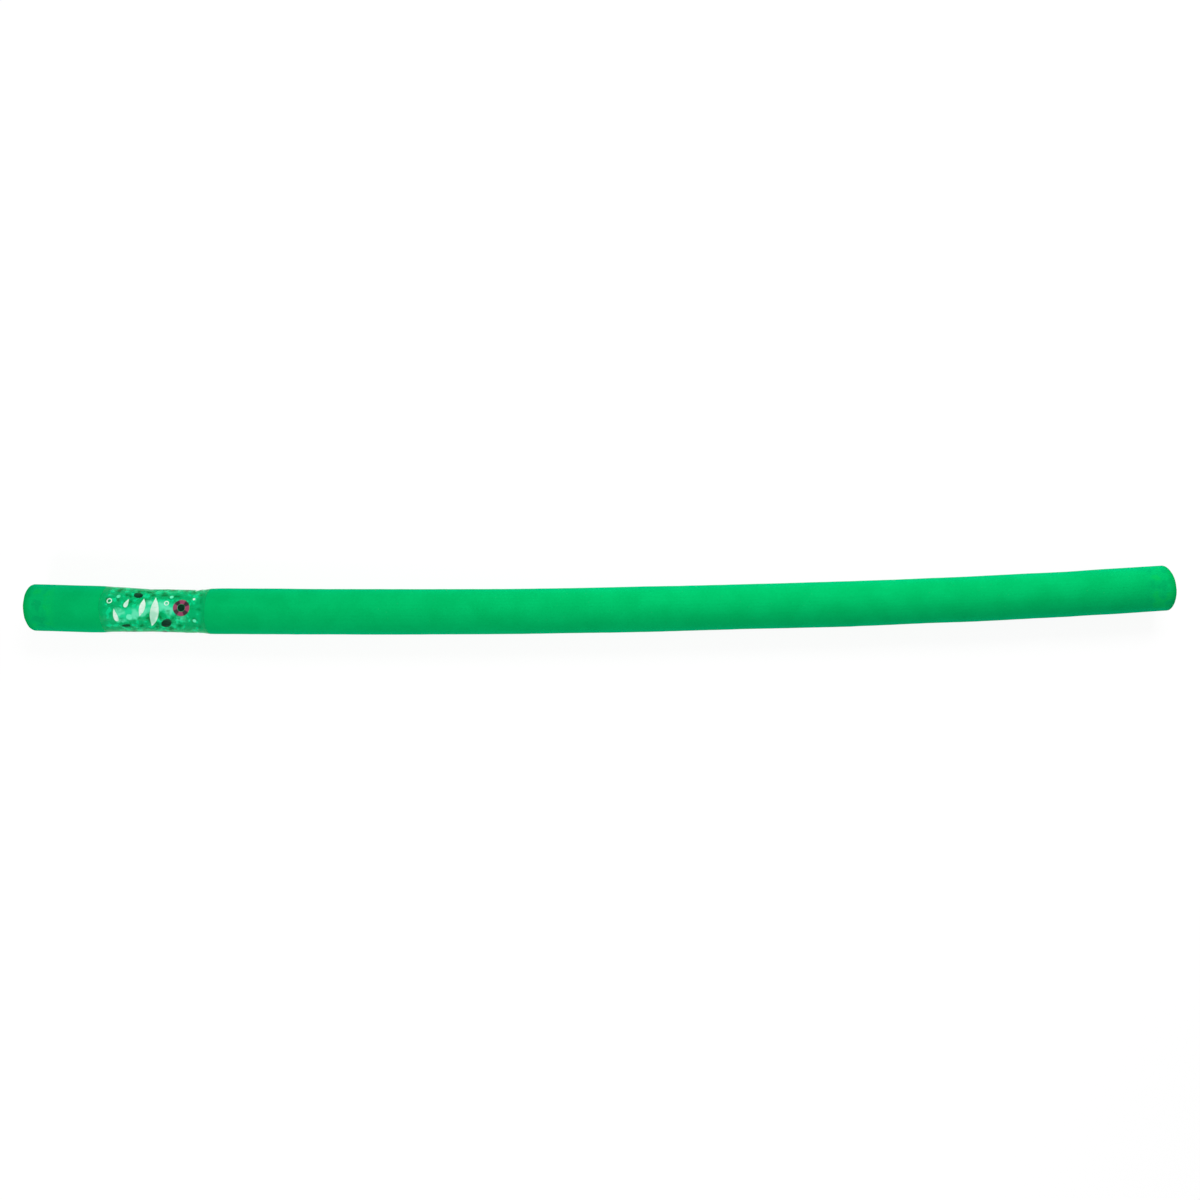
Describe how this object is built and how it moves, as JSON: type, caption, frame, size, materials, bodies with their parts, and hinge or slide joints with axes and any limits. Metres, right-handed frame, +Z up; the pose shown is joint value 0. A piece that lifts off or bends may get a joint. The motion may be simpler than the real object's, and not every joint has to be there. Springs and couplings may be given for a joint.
{
  "type": "pool noodle",
  "caption": "Long hollow tube of green closed-cell foam in a shallow bow, with a thin printed film label shrunk round it near an end.",
  "frame": {"origin": "on the ground under the middle of the noodle: the bottom centre of its bounding box", "axes": "+X along the noodle's chord, from the end near the film label to the plain end; +Y to the side that both ends bow towards; +Z up from the ground"},
  "size_m": [1.602, 0.0801, 0.0629],
  "materials": {
    "foam": "extruded closed-cell polyethylene foam, satin skin, cells cut open on the sawn ends",
    "film": "clear glossy shrink film with green, white, mint, magenta and dark print"
  },
  "bodies": {
    "root": {"foam_tube": "foam", "label_sleeve": "film"}
  },
  "joints": []
}
